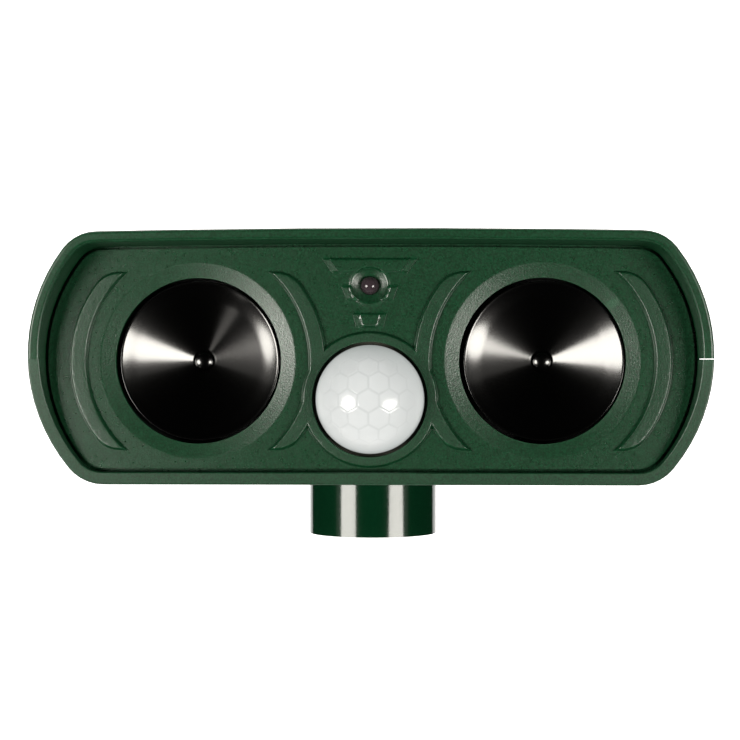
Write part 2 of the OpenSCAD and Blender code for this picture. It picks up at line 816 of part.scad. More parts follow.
upper_shell();
lower_shell();
front_plate();
shell_screws();
speaker_frame(-1);  // left_speaker_frame
speaker_frame(1);  // right_speaker_frame
speaker_cone(-1);  // left_speaker_cone
speaker_cone(1);  // right_speaker_cone
piezo_disc(-1);  // left_piezo_disc
piezo_disc(1);  // right_piezo_disc
speaker_gasket(-1);  // left_speaker_gasket
speaker_gasket(1);  // right_speaker_gasket
speaker_screws();
pir_lens();
pir_sensor();
status_lamp();
main_board();
controller_chip();
capacitors();
drive_transformer(-1);  // left_drive_transformer
drive_transformer(1);  // right_drive_transformer
board_screws();
control_board();
control_board_screws();
pot(-1);  // sensitivity_pot
pot(1);  // frequency_pot
shaft(-1);  // sensitivity_shaft
shaft(1);  // frequency_shaft
knob(-1);  // sensitivity_knob
knob(1);  // frequency_knob
switch_body();
switch_slider();
dc_jack();
dc_jack_nut();
dc_port_cap();
dc_cap_strap();
battery_box();
battery_box_screws();
cell(-cell_l / 2, cell_low_z, 1);  // battery_cell_1
cell(cell_l / 2, cell_low_z, 1);  // battery_cell_2
cell(-cell_l / 2, cell_high_z, -1);  // battery_cell_3
cell(cell_l / 2, cell_high_z, -1);  // battery_cell_4
contact_springs();
contact_plates();
battery_door();
battery_door_seal();
battery_door_screws();
speaker_wires(-1);  // left_speaker_wires
speaker_wires(1);  // right_speaker_wires
battery_wires();
power_wires();
link_wires();
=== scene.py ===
"""Looks of the pole-mounted ultrasonic pest repeller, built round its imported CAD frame."""

import json
import math

import bmesh
import bpy
from mathutils import Matrix, Vector
from mathutils.geometry import delaunay_2d_cdt


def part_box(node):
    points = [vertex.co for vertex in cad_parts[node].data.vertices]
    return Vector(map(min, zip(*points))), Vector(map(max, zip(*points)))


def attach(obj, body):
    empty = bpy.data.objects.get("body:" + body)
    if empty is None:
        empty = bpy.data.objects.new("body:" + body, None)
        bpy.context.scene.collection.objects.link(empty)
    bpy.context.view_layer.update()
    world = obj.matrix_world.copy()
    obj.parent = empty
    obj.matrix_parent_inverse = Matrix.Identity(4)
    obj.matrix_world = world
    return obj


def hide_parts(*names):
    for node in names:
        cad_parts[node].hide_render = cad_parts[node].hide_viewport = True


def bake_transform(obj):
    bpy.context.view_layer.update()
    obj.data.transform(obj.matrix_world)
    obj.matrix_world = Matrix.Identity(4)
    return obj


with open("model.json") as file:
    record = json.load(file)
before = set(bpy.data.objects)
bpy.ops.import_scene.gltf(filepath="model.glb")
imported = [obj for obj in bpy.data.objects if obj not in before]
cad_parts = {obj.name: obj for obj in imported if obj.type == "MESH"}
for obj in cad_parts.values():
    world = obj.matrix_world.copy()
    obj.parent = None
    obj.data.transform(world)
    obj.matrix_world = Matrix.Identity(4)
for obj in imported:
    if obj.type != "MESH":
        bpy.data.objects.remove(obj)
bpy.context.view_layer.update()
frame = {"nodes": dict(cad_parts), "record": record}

MM = 0.001
RECORD = frame["record"]
NODES = frame["nodes"]
BODY_OF = {node: body for body, nodes in RECORD["behaviour"]["bodies"].items() for node in nodes}
SLOT_OF = {row["node"]: row["material_slot"] for row in RECORD["subparts"]}

# ---- places taken from the frame, in metres ----


def centre(node):
    low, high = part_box(node)
    return Vector([(a + b) / 2 for a, b in zip(low, high)])


LENS = centre("pir_lens")
LAMP = centre("status_lamp")
PLATE_FACE_Y = -0.028
PARTING_Z = (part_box("upper_shell")[0][2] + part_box("lower_shell")[1][2]) / 2
SOCKET_TOP_Z, SOCKET_REACH = 0.0156, 0.0184
# the front rim lies in a plane whose top leans forward
RIM_LEAN = math.radians(8.25)
RIM_POINT = Vector((0, -0.035, PARTING_Z))
RIM_NORMAL = Vector((0, -math.cos(RIM_LEAN), -math.sin(RIM_LEAN)))

# ---- camera, lights and stage ----

WARM_WHITE = (1.0, 0.965, 0.905)
CAMERA_RANGE = 0.549
CAMERA_SIDE = math.radians(1.8)
CAMERA_DIP = math.radians(0.33)
CAMERA_AIM_X = 0.0003
CAMERA_LENS = 92.4
LIGHT_REACH = 1.0
SPILL_TURN = math.radians(52)
FLOOR_HALF, FLOOR_FRONT, FLOOR_Z = 1.3, -0.1, -0.6
DROP_HALF, DROP_LOW, DROP_TOP = 1.2, -0.5, 1.1
STAGE_BACK = 1.5


def aim(obj, place, target):
    """Puts obj at place with its -Z axis towards target."""
    way = Vector(target) - Vector(place)
    obj.matrix_world = Matrix.Translation(place) @ way.to_track_quat("-Z", "Y").to_matrix().to_4x4()


def make_camera():
    data = bpy.data.cameras.new("camera")
    data.lens = CAMERA_LENS
    data.sensor_width = 36
    data.clip_start = 0.01
    data.clip_end = 20
    camera = bpy.data.objects.new("camera", data)
    bpy.context.collection.objects.link(camera)
    away = Vector((math.sin(CAMERA_SIDE), -math.cos(CAMERA_SIDE), 0))
    place = Vector((0, 0, PARTING_Z)) + away * CAMERA_RANGE
    target = Vector((CAMERA_AIM_X, RIM_POINT.y, 0))
    target.z = PARTING_Z - (place - RIM_POINT).length * math.tan(CAMERA_DIP)
    aim(camera, place, target)
    bpy.context.scene.camera = camera


def area_light(name, place, target, size, power, shape="RECTANGLE"):
    data = bpy.data.lights.new(name, "AREA")
    data.shape = shape
    data.size, data.size_y = size
    data.energy = power
    data.color = WARM_WHITE
    lamp = bpy.data.objects.new(name, data)
    bpy.context.collection.objects.link(lamp)
    aim(lamp, place, target)


def make_lights():
    """Two oval softboxes in front, weak spill outside them, two rear lights, a card and a top light."""
    middle = Vector((0, 0, PARTING_Z))
    for side, name, turn, tall, low, power in (
        (-1, "left", 43.2, 0.46, 0.14, 9.5), (1, "right", 44, 0.36, 0.18, 7.6)
    ):
        a = math.radians(turn)
        place = middle + Vector((side * math.sin(a), -math.cos(a), -low)) * LIGHT_REACH
        area_light("softbox_" + name, place, middle, (0.5, tall), power, "ELLIPSE")
        spill = Vector((side * math.sin(SPILL_TURN), -math.cos(SPILL_TURN), -0.08)) * LIGHT_REACH
        area_light("spill_" + name, middle + spill, middle, (0.55, 0.58), 0.35)
        area_light("rear_" + name, (side * 0.9, 0.9, 0.6), middle, (0.8, 0.8), 8)
    area_light("low_card", (-0.58, -0.5, -0.6), middle, (0.16, 0.16), 0.1)
    area_light("top_light", (0, 0.05, 1.1), middle, (1.0, 0.4), 6)


def make_world():
    world = bpy.data.worlds.new("studio")
    bpy.context.scene.world = world
    world.use_nodes = True
    tree = world.node_tree
    tree.nodes.clear()
    out = tree.nodes.new("ShaderNodeOutputWorld")
    mix = tree.nodes.new("ShaderNodeMixShader")
    path = tree.nodes.new("ShaderNodeLightPath")
    dim = tree.nodes.new("ShaderNodeBackground")
    pale = tree.nodes.new("ShaderNodeBackground")
    dim.inputs["Color"].default_value = (0.006, 0.006, 0.006, 1)
    pale.inputs["Color"].default_value = (1, 1, 1, 1)
    tree.links.new(path.outputs["Is Camera Ray"], mix.inputs[0])
    tree.links.new(dim.outputs[0], mix.inputs[1])
    tree.links.new(pale.outputs[0], mix.inputs[2])
    tree.links.new(mix.outputs[0], out.inputs["Surface"])


def link_mesh(name, bm):
    mesh = bpy.data.meshes.new(name)
    bm.to_mesh(mesh)
    bm.free()
    obj = bpy.data.objects.new(name, mesh)
    bpy.context.collection.objects.link(obj)
    return obj


def quad(name, corners):
    bm = bmesh.new()
    bm.faces.new([bm.verts.new(c) for c in corners])
    return link_mesh(name, bm)


# ---- materials ----


class Shade:
    """A Principled material with helpers for its node tree."""

    def __init__(self, name, colour, rough, **sockets):
        self.mat = bpy.data.materials.new(name)
        self.mat.use_nodes = True
        self.tree = self.mat.node_tree
        self.bsdf = self.tree.nodes["Principled BSDF"]
        self.set("Base Color", (*colour, 1))
        self.set("Roughness", rough)
        for socket, value in sockets.items():
            self.set(socket.replace("_", " "), value)
        self.coords = self.node("ShaderNodeTexCoord").outputs["Object"]
        self.height = None

    def set(self, socket, value):
        self.bsdf.inputs[socket].default_value = value

    def node(self, kind, **values):
        node = self.tree.nodes.new(kind)
        for key, value in values.items():
            if hasattr(node, key):
                setattr(node, key, value)
            else:
                node.inputs[key.replace("_", " ")].default_value = value
        return node

    def link(self, a, b):
        self.tree.links.new(a, b)

    def noise(self, size_mm, detail=3, rough=0.5):
        """Noise whose features are about size_mm across."""
        spread = self.node("ShaderNodeMapping")
        spread.inputs["Scale"].default_value = [1 / (size_mm * MM)] * 3
        self.link(self.coords, spread.inputs["Vector"])
        node = self.node("ShaderNodeTexNoise", Scale=1.0, Detail=detail, Roughness=rough)
        self.link(spread.outputs[0], node.inputs["Vector"])
        return node.outputs["Fac"]

    def remap(self, value, low, high, a=0.3, b=0.7):
        node = self.node("ShaderNodeMapRange")
        node.inputs["From Min"].default_value = a
        node.inputs["From Max"].default_value = b
        node.inputs["To Min"].default_value = low
        node.inputs["To Max"].default_value = high
        self.link(value, node.inputs["Value"])
        return node.outputs["Result"]

    def vary_rough(self, value, low, high):
        self.link(self.remap(value, low, high), self.bsdf.inputs["Roughness"])

    def vary_colour(self, value, low, high, a=0.36, b=0.64):
        mix = self.node("ShaderNodeMix", data_type="RGBA")
        mix.inputs[6].default_value = (*low, 1)
        mix.inputs[7].default_value = (*high, 1)
        self.link(self.remap(value, 0, 1, a, b), mix.inputs[0])
        self.link(mix.outputs[2], self.bsdf.inputs["Base Color"])

    def bump(self, value, depth_mm):
        """Adds a relief of depth_mm on top of the earlier ones."""
        node = self.node("ShaderNodeBump", Strength=1.0, Distance=depth_mm * MM)
        self.link(value, node.inputs["Height"])
        if self.height:
            self.link(self.height, node.inputs["Normal"])
        self.height = node.outputs["Normal"]
        self.link(self.height, self.bsdf.inputs["Normal"])

    def lighten_edges(self, colour, amount):
        """Lightens the convex edges a little."""
        geo = self.node("ShaderNodeNewGeometry")
        ramp = self.remap(geo.outputs["Pointiness"], 0, amount, 0.52, 0.6)
        mix = self.node("ShaderNodeMix", data_type="RGBA")
        socket = self.bsdf.inputs["Base Color"]
        self.link(socket.links[0].from_socket, mix.inputs[6])
        mix.inputs[7].default_value = (*colour, 1)
        self.link(ramp, mix.inputs[0])
        self.link(mix.outputs[2], socket)


SPECKLE_MM, CLOUD_MM, CLOUD_ROUGH = 0.45, 1.2, 0.02


def moulded(name, colour, light, rough, grain_mm, grain_depth, **sockets):
    """Moulded plastic with a fine speckle and a spark-eroded grain."""
    shade = Shade(name, colour, rough, **sockets)
    shade.vary_colour(shade.noise(SPECKLE_MM, 2), colour, light)
    shade.vary_rough(shade.noise(CLOUD_MM, 3), rough - CLOUD_ROUGH, rough + CLOUD_ROUGH)
    if grain_depth:
        shade.bump(shade.noise(grain_mm, 3, 0.7), grain_depth)
    shade.lighten_edges([min(1, c * 2.2 + 0.01) for c in light], 0.35)
    return shade.mat


def add_greens(out):
    """The housing's green in four finishes, and the glossier green of the pole socket."""
    green = (0.0012, 0.022, 0.006)
    green_light = (0.0055, 0.056, 0.0215)
    for key, name, rough, grain_mm, grain_depth, level in (
        ("housing_plastic", "housing_green", 0.34, 0.5, 0.02, 0.5),
        ("housing_textured", "housing_green_textured", 0.4, 0.42, 0.06, 0.7),
        ("plate_plastic", "plate_green", 0.29, 0.42, 0.05, 0.9),
        ("plate_textured", "plate_green_textured", 0.33, 0.5, 0.075, 0.9),
    ):
        out[key] = moulded(
            name, green, green_light, rough, grain_mm, grain_depth, Specular_IOR_Level=level
        )
    socket, socket_light = (0.0012, 0.019, 0.007), (0.0018, 0.024, 0.009)
    out["socket_gloss"] = moulded("socket_green", socket, socket_light, 0.12, 1, 0)


def add_blacks(out):
    black, black_light = (0.012, 0.012, 0.013), (0.02, 0.02, 0.021)
    rubber, rubber_light = (0.01, 0.01, 0.01), (0.018, 0.018, 0.018)
    out["black_plastic"] = moulded("black_plastic", black, black_light, 0.42, 0.4, 0.03)
    out["knob_plastic"] = moulded("knob_black", black, black_light, 0.36, 0.4, 0.02)
    out["black_rubber"] = moulded("black_rubber", rubber, rubber_light, 0.68, 0.3, 0.03)


def add_metals(out):
    cone = Shade("cone_metal", (0.07, 0.07, 0.069), 0.17, Metallic=1.0)
    cone.vary_rough(cone.noise(0.25, 2), 0.15, 0.19)
    out["cone_metal"] = cone.mat

    steel = Shade("zinc_steel", (0.62, 0.63, 0.65), 0.3, Metallic=1.0)
    steel.vary_rough(steel.noise(1.5, 4), 0.22, 0.42)
    steel.bump(steel.noise(0.5, 3), 0.01)
    out["screw_steel"] = out["plated_steel"] = steel.mat

    brass = Shade("brass", (0.72, 0.5, 0.2), 0.28, Metallic=1.0)
    brass.vary_rough(brass.noise(2, 4), 0.2, 0.4)
    out["brass"] = brass.mat


def add_lenses(out):
    pale, border_painted_shade = (0.47, 0.485, 0.5), (0.36, 0.375, 0.385)
    milk = Shade("milky_lens", pale, 0.2, Subsurface_Weight=0.7, Subsurface_Scale=0.006)
    milk.set("Subsurface Radius", (1, 1, 1))
    # The lens glows a little though it is no lamp: painted light that evens out its shading.
    milk.set("Emission Color", (0.93, 0.97, 0.96, 1))
    milk.set("Emission Strength", 0.3)
    # Darker along the cell borders: painted shade of the grooves there.
    border = milk.node("ShaderNodeAttribute", attribute_name="cell_border").outputs["Fac"]
    milk.vary_colour(border, pale, border_painted_shade, 0.1, 1)
    milk.bump(milk.noise(0.5, 2), 0.01)
    milk.vary_rough(milk.noise(4, 2), 0.14, 0.2)
    out["milky_plastic"] = milk.mat

    # A dark copy of the milky lens plastic for its flange behind the plate: painted shade.
    flange_shade, flange_shade_light = (0.035, 0.035, 0.028), (0.05, 0.05, 0.04)
    out["flange_painted_shade"] = moulded("flange_painted_shade", flange_shade, flange_shade_light, 0.5, 0.5, 0.01)

    # The clear bulb is tinted dark: painted shade standing in for the dark hole seen through it.
    clear = Shade("clear_epoxy_painted_shade", (0.05, 0.036, 0.043), 0.09, Transmission_Weight=0.2, IOR=1.54)
    clear.bump(clear.noise(2, 2), 0.01)
    out["clear_lamp"] = clear.mat


def add_inner_plastics(out):
    for slot, name, low, high, rough in (
        ("wire_sleeve", "wire_red", (0.3, 0.02, 0.015), (0.36, 0.03, 0.02), 0.35),
        ("circuit_board", "board_green", (0.01, 0.09, 0.03), (0.015, 0.12, 0.04), 0.3),
        ("cell_sleeve", "cell_grey", (0.03, 0.03, 0.035), (0.045, 0.045, 0.05), 0.25),
        ("capacitor_sleeve", "capacitor_blue", (0.01, 0.015, 0.05), (0.015, 0.02, 0.07), 0.3),
        ("ferrite", "ferrite_grey", (0.02, 0.02, 0.02), (0.035, 0.035, 0.035), 0.6),
        ("pot_case", "pot_blue", (0.02, 0.08, 0.22), (0.03, 0.1, 0.26), 0.35),
    ):
        out[slot] = moulded(name, low, high, rough, 0.5, 0.01)


def make_materials():
    """One material for each material slot, and for the finishes that share a slot."""
    out = {}
    for add in (add_greens, add_blacks, add_metals, add_lenses, add_inner_plastics):
        add(out)
    return out


# ---- pieces ----


def claim(piece, node):
    """Makes piece stand for a CAD node and move with its body."""
    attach(piece, BODY_OF[node])
    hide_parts(node)


def smooth_by_angle(mesh, degrees):
    for poly in mesh.polygons:
        poly.use_smooth = True
    mesh.set_sharp_from_angle(angle=math.radians(degrees))


def clean_copy(node):
    """A welded copy of a CAD node's mesh with its flat areas merged into single faces."""
    bm = bmesh.new()
    bm.from_mesh(NODES[node].data)
    bmesh.ops.remove_doubles(bm, verts=bm.verts, dist=2e-6)
    bmesh.ops.dissolve_limit(
        bm, angle_limit=math.radians(0.4), verts=bm.verts, edges=bm.edges, delimit={"NORMAL"}
    )
    return bm


def soften(bm, edges, width_mm, segments):
    bmesh.ops.bevel(
        bm, geom=list(edges), offset=width_mm * MM, offset_type="OFFSET", segments=segments,
        profile=0.5, affect="EDGES", clamp_overlap=True, loop_slide=True,
    )


def add_edge_rounding(piece, width_mm, degrees):
    """Rounds the edges sharper than an angle, and keeps the flat areas flat in the shading."""
    mod = piece.modifiers.new("edges", "BEVEL")
    mod.width = width_mm * MM
    mod.segments = 2
    mod.limit_method = "ANGLE"
    mod.angle_limit = math.radians(degrees)
    mod.miter_outer = "MITER_ARC"
    normals = piece.modifiers.new("normals", "WEIGHTED_NORMAL")
    normals.keep_sharp = True
    normals.weight = 80


def refined(node, name, width_mm, mat):
    """A CAD node's shape with rounded edges."""
    piece = link_mesh(name, clean_copy(node))
    smooth_by_angle(piece.data, 40)
    piece.data.materials.append(mat)
    add_edge_rounding(piece, width_mm, 35)
    claim(piece, node)


def shell(node, name, mats, rim_mm):
    """A housing half with a rounded front rim, whose socket takes the second material.

    The narrow gap between the halves is closed on the left side and stays open on the right.
    """
    bm = clean_copy(node)

    def on_rim(vert):
        return abs((vert.co - RIM_POINT).dot(RIM_NORMAL)) < 0.02 * MM

    def at_parting(vert):
        return abs(vert.co.z - PARTING_Z) < 0.2 * MM

    rim = [
        e for e in bm.edges
        if all(on_rim(v) for v in e.verts) and not all(at_parting(v) for v in e.verts)
        and len(e.link_faces) == 2
    ]
    soften(bm, rim, rim_mm, 4)
    for vert in bm.verts:
        if at_parting(vert) and vert.co.x < 0:
            vert.co.z = PARTING_Z
    if len(mats) > 1:
        for face in bm.faces:
            middle = face.calc_center_median()
            if middle.z < SOCKET_TOP_Z and Vector((middle.x, middle.y)).length < SOCKET_REACH:
                face.material_index = 1
    piece = link_mesh(name, bm)
    smooth_by_angle(piece.data, 30)
    for mat in mats:
        piece.data.materials.append(mat)
    add_edge_rounding(piece, 0.3, 40)
    claim(piece, node)


def join_rings(bm, pairs, steps):
    """Fills the strips between pairs of rings; a ring of one vertex is a pole."""
    for a, b in pairs:
        for k in range(steps):
            m = (k + 1) % steps
            loop = [a[k % len(a)], a[m % len(a)], b[m % len(b)], b[k % len(b)]]
            loop = list(dict.fromkeys(loop))
            if len(loop) > 2:
                bm.faces.new(loop)
    bmesh.ops.recalc_face_normals(bm, faces=bm.faces)


def lathe(name, profile, middle, steps, mat, closed=True):
    """Turns a profile of (radius, forward) points in mm about a line along Y through middle."""
    bm = bmesh.new()
    rings = []
    for r, f in profile:
        if r < 1e-6:
            rings.append([bm.verts.new((middle.x, middle.y - f * MM, middle.z))])
            continue
        rings.append([
            bm.verts.new((
                middle.x + r * MM * math.cos(2 * math.pi * k / steps),
                middle.y - f * MM,
                middle.z + r * MM * math.sin(2 * math.pi * k / steps),
            ))
            for k in range(steps)
        ])
    pairs = list(zip(rings, rings[1:])) + ([(rings[-1], rings[0])] if closed else [])
    join_rings(bm, pairs, steps)
    piece = link_mesh(name, bm)
    piece.data.materials.append(mat)
    smooth_by_angle(piece.data, 40)
    return piece


def arc_points(cx, cy, r, a0, a1, n):
    return [
        (cx + r * math.cos(math.radians(a0 + (a1 - a0) * i / n)),
         cy + r * math.sin(math.radians(a0 + (a1 - a0) * i / n)))
        for i in range(n + 1)
    ]


# ---- the face plate: a relief given by a height function over X and Z, in mm and degrees ----

RELIEF, BAR_RELIEF = 1.2, 0.7
EDGE = 0.8
EDGE_LINES = [EDGE * share for share in (-0.5, -0.25, 0, 0.19, 0.35, 0.5)]
SPEAKER_X, SPEAKER_DZ = 47.3, -0.5
SPEAKER_R, DISH_MID_R, DISH_R, DISH_DEPTH = 22.85, 24.8, 26.9, 0.9
LENS_DZ = -11.1
LENS_HOLE_R, LENS_RING_R = 15.9, 18.4
LAMP_DZ = 20.2
LAMP_HOLE_R, LAMP_DISH_R, LAMP_DEPTH = 2.65, 4.8, 1.25
LAMP_MID_R, LAMP_LIP = 3.7, 0.2
BAND_IN, BAND_BEHIND, BAND_OUT = 33.0, 2.2, 35.0
BAND_REACH, BAND_TIP_R = 24.2, 8.0
# each bar's top and low side, and its widths there
BARS = ((27.4, 23.9, 21.7, 16.9), (19.8, 16.4, 11.2, 8.7), (12.35, 9.0, 5.1, 3.5))
BAR_FLANK = 2.15
PLATE_INSET, PLATE_THICKNESS = 2.8, 2.8
GROOVE_INSET, GROOVE_DEPTH, GROOVE_WALL = 4.4, 2.2, 0.02
FILL_PITCH = 1.6
SIDE_R, CORNER_R, TANGENT = 48.2, 12.0, 38.4
SIDE_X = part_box("upper_shell")[1][0] / MM - SIDE_R
TOP_CROWN = 0.7


def ease(t):
    t = min(1.0, max(0.0, t))
    return t * t * (3 - 2 * t)


def raised(depth):
    """Share of the full relief at a distance inside an edge: sharp at the foot, round at the top."""
    return math.sin(math.pi / 2 * min(1.0, max(0.0, depth / EDGE + 0.5)))


def band_tip():
    """Middle of the round outer corner of a crescent's tip, about its speaker."""
    v = BAND_REACH - BAND_TIP_R
    return math.sqrt((BAND_OUT - BAND_TIP_R) ** 2 - v * v), v


def band_depth(u, v):
    """Distance inside the edge of the crescent on the +X side of a speaker."""
    r = math.hypot(u, v)
    tip_u, tip_v = band_tip()
    outer = BAND_OUT - r
    if abs(v) > tip_v and abs(v) * tip_u > u * tip_v:
        outer = BAND_TIP_R - math.hypot(u - tip_u, abs(v) - tip_v)
        if u < tip_u:
            outer = BAND_REACH - abs(v)
    return min(outer, math.hypot(u + BAND_BEHIND, v) - BAND_IN) if u > 0 else -1


def plate_height(x, z):
    """Height of the plate's face in mm; z is counted from the parting plane."""
    high = RELIEF * raised(LENS_RING_R - math.hypot(x, z - LENS_DZ))
    dip = 0.0
    for side in (-1, 1):
        u, v = x - side * SPEAKER_X, z - SPEAKER_DZ
        high = max(high, RELIEF * raised(max(band_depth(u, v), band_depth(-u, v))))
        dip = max(dip, DISH_DEPTH * (DISH_R - math.hypot(u, v)) / (DISH_R - SPEAKER_R))
    for top, low, top_w, low_w in BARS:
        half = (low_w + (top_w - low_w) * (z - low) / (top - low)) / 2
        flank = min(1.0, max(0.0, (half + BAR_FLANK - abs(x)) / BAR_FLANK))
        end = ease((half + BAR_FLANK - abs(x)) / 0.1)
        step = ease((half - abs(x)) / 0.2 + 0.5)
        share = min(raised(top - z), raised(z - low))
        high = max(high, BAR_RELIEF * share * end * (0.4 + 0.25 * flank + 0.35 * step))
    lamp = math.hypot(x, z - LAMP_DZ)
    high *= ease((lamp - LAMP_DISH_R) / 0.5 + 0.2)
    high = max(high, LAMP_LIP * ease(1 - abs(lamp - LAMP_DISH_R - 0.35) / 0.7))
    if lamp < LAMP_DISH_R:
        dip = LAMP_DEPTH * (LAMP_DISH_R - lamp) / (LAMP_DISH_R - LAMP_HOLE_R)
    return high - dip


def textured(x, z):
    """True on the coarser parts of the face: crescents, sensor's ring and the dishes."""
    if math.hypot(x, z - LENS_DZ) < LENS_RING_R or math.hypot(x, z - LAMP_DZ) < LAMP_DISH_R:
        return True
    u, v = abs(x) - SPEAKER_X, z - SPEAKER_DZ
    return math.hypot(u, v) < DISH_R or max(band_depth(u, v), band_depth(-u, v)) > -0.1


def outline(inset):
    """The housing's outline in mm about the parting plane, moved inwards by inset."""
    arc_steps, side_steps, top_steps = 10, 30, 24
    reach = SIDE_R - CORNER_R
    cx, cz = SIDE_X + reach * math.cos(math.radians(TANGENT)), reach * math.sin(math.radians(TANGENT))
    r, side = CORNER_R - inset, SIDE_R - inset
    right = arc_points(cx, -cz, r, -90, -TANGENT, arc_steps)[:-1]
    right += arc_points(SIDE_X, 0, side, -TANGENT, TANGENT, side_steps)[:-1]
    right += arc_points(cx, cz, r, TANGENT, 90, arc_steps)[:-1]
    top = []
    for i in range(top_steps):
        u = 1 - 2 * i / top_steps
        top.append((cx * u, cz + r + TOP_CROWN * (1 - u * u)))
    left = [(-x, z) for x, z in reversed(right)]
    low = [(-cx + 2 * cx * i / top_steps, -cz - r) for i in range(1, top_steps)]
    return right + top + [(-cx, cz + r)] + left + low


def inside(point, loop):
    x, z = point
    hit = False
    for (x0, z0), (x1, z1) in zip(loop, loop[1:] + loop[:1]):
        if (z0 > z) != (z1 > z) and x < (x1 - x0) * (z - z0) / (z1 - z0) + x0:
            hit = not hit
    return hit


def ring_points(cx, cz, r, step):
    n = max(24, int(2 * math.pi * r / step))
    turns = [2 * math.pi * k / n for k in range(n)]
    return [(cx + r * math.cos(turn), cz + r * math.sin(turn)) for turn in turns]


def band_lines():
    """Lines along a crescent's edges, a little inside and outside them."""
    tip_u, tip_v = band_tip()
    turn = math.degrees(math.atan2(tip_v, tip_u))
    lines = []
    for d in EDGE_LINES:
        end = math.degrees(math.asin((BAND_REACH - d) / (BAND_IN + d)))
        last = math.sqrt((BAND_IN + d) ** 2 - (BAND_REACH - d) ** 2) - BAND_BEHIND
        lines.append(arc_points(-BAND_BEHIND, 0, BAND_IN + d, -end, end, 60))
        outer = arc_points(0, 0, BAND_OUT - d, -turn, turn, 50)
        for way in (-1, 1):
            tip = arc_points(tip_u, way * tip_v, BAND_TIP_R - d, way * turn, way * 90, 12)[1:]
            tip += [(tip_u + (last - tip_u) * t / 5, way * (BAND_REACH - d)) for t in range(1, 6)]
            outer = outer + tip if way > 0 else tip[::-1] + outer
        lines.append(outer)
    return lines


def bar_lines(top, low, top_w, low_w):
    """Lines across and along one bar, at its edges and its flanks."""
    lines = []
    for z in [top - d for d in EDGE_LINES] + [low + d for d in EDGE_LINES]:
        half = (low_w + (top_w - low_w) * (z - low) / (top - low)) / 2 + BAR_FLANK
        n = int(2 * half / 0.6)
        lines.append([(-half + 2 * half * i / n, z) for i in range(n + 1)])
    for side in (-1, 1):
        for flank in (-0.1, 0, 0.1, BAR_FLANK / 2, BAR_FLANK - 0.1, BAR_FLANK):
            start = Vector((side * (low_w / 2 + flank), low))
            end = Vector((side * (top_w / 2 + flank), top))
            lines.append([start.lerp(end, t / 4) for t in range(5)])
    return lines


def plate_lines():
    """Closed loops and open lines along which the relief bends, in mm."""
    loops, lines = [], []
    for side in (-1, 1):
        for r in (SPEAKER_R, SPEAKER_R + 0.25, DISH_MID_R, DISH_R - 0.3, DISH_R, DISH_R + 0.3):
            loops.append(ring_points(side * SPEAKER_X, SPEAKER_DZ, r, 0.9))
        for way in (-1, 1):
            for line in band_lines():
                lines.append([(side * SPEAKER_X + way * u, SPEAKER_DZ + v) for u, v in line])
    for r in [LENS_HOLE_R, LENS_HOLE_R + 0.3] + [LENS_RING_R - d for d in EDGE_LINES]:
        loops.append(ring_points(0, LENS_DZ, r, 0.8))
    for r in (LAMP_HOLE_R, LAMP_HOLE_R + 0.2, LAMP_MID_R, LAMP_DISH_R - 0.1, LAMP_DISH_R + 0.1,
              LAMP_DISH_R + 0.35, LAMP_DISH_R + 0.7, LAMP_DISH_R + 1.05):
        loops.append(ring_points(0, LAMP_DZ, r, 0.35))
    for bar in BARS:
        lines += bar_lines(*bar)
    return loops, lines


def plate_mesh(border, loops, lines):
    """Flat triangles inside border whose edges follow every loop and line."""
    points, edges = [], []
    for k, line in enumerate(loops + lines):
        start = len(points)
        points += [Vector(p) for p in line]
        edges += [(start + i, start + i + 1) for i in range(len(line) - 1)]
        if k < len(loops):
            edges.append((start + len(line) - 1, start))
    for i in range(-56, 57):
        for j in range(-22, 23):
            x, z = (i + 0.5 * (j % 2)) * FILL_PITCH, j * FILL_PITCH * 0.87
            if inside((x, z), border):
                points.append(Vector((x, z)))
    verts, _, faces, *_ = delaunay_2d_cdt(points, edges, [], 0, 1e-4)
    return verts, faces


def make_plate():
    border = outline(PLATE_INSET)
    loops, lines = plate_lines()
    grooves = [outline(GROOVE_INSET - GROOVE_WALL), outline(GROOVE_INSET + GROOVE_WALL)]
    verts, faces = plate_mesh(border, [border] + grooves + loops, lines)
    holes = [(s * SPEAKER_X, SPEAKER_DZ, SPEAKER_R) for s in (-1, 1)]
    holes += [(0, LENS_DZ, LENS_HOLE_R), (0, LAMP_DZ, LAMP_HOLE_R)]
    bm = bmesh.new()
    inner = outline(GROOVE_INSET)
    front = []
    for v in verts:
        height = plate_height(v.x, v.y) if inside(v, inner) else -GROOVE_DEPTH
        front.append(bm.verts.new((v.x * MM, PLATE_FACE_Y - height * MM, PARTING_Z + v.y * MM)))
    for f in faces:
        mid = sum((verts[i] for i in f), Vector((0, 0))) / len(f)
        if any(math.hypot(mid.x - x, mid.y - z) < r * 0.9999 for x, z, r in holes):
            continue
        if inside(mid, border):
            bm.faces.new([front[i] for i in f]).material_index = int(textured(mid.x, mid.y))
    bmesh.ops.delete(bm, geom=[v for v in bm.verts if not v.link_faces], context="VERTS")
    rim = [e for e in bm.edges if len(e.link_faces) == 1]
    grown = bmesh.ops.extrude_edge_only(bm, edges=rim)["geom"]
    for v in grown:
        if isinstance(v, bmesh.types.BMVert):
            v.co.y = PLATE_FACE_Y + PLATE_THICKNESS * MM
    back_rim = [e for e in bm.edges if len(e.link_faces) == 1]
    bmesh.ops.triangle_fill(bm, edges=back_rim, use_beauty=True)
    bmesh.ops.recalc_face_normals(bm, faces=bm.faces)
    piece = link_mesh("face_plate", bm)
    smooth_by_angle(piece.data, 50)
    piece.modifiers.new("normals", "WEIGHTED_NORMAL").keep_sharp = True
    piece.data.materials.append(MATS["plate_plastic"])
    piece.data.materials.append(MATS["plate_textured"])
    claim(piece, "front_plate")


# ---- the speaker cones, sensor lens and lamp, in mm and degrees ----

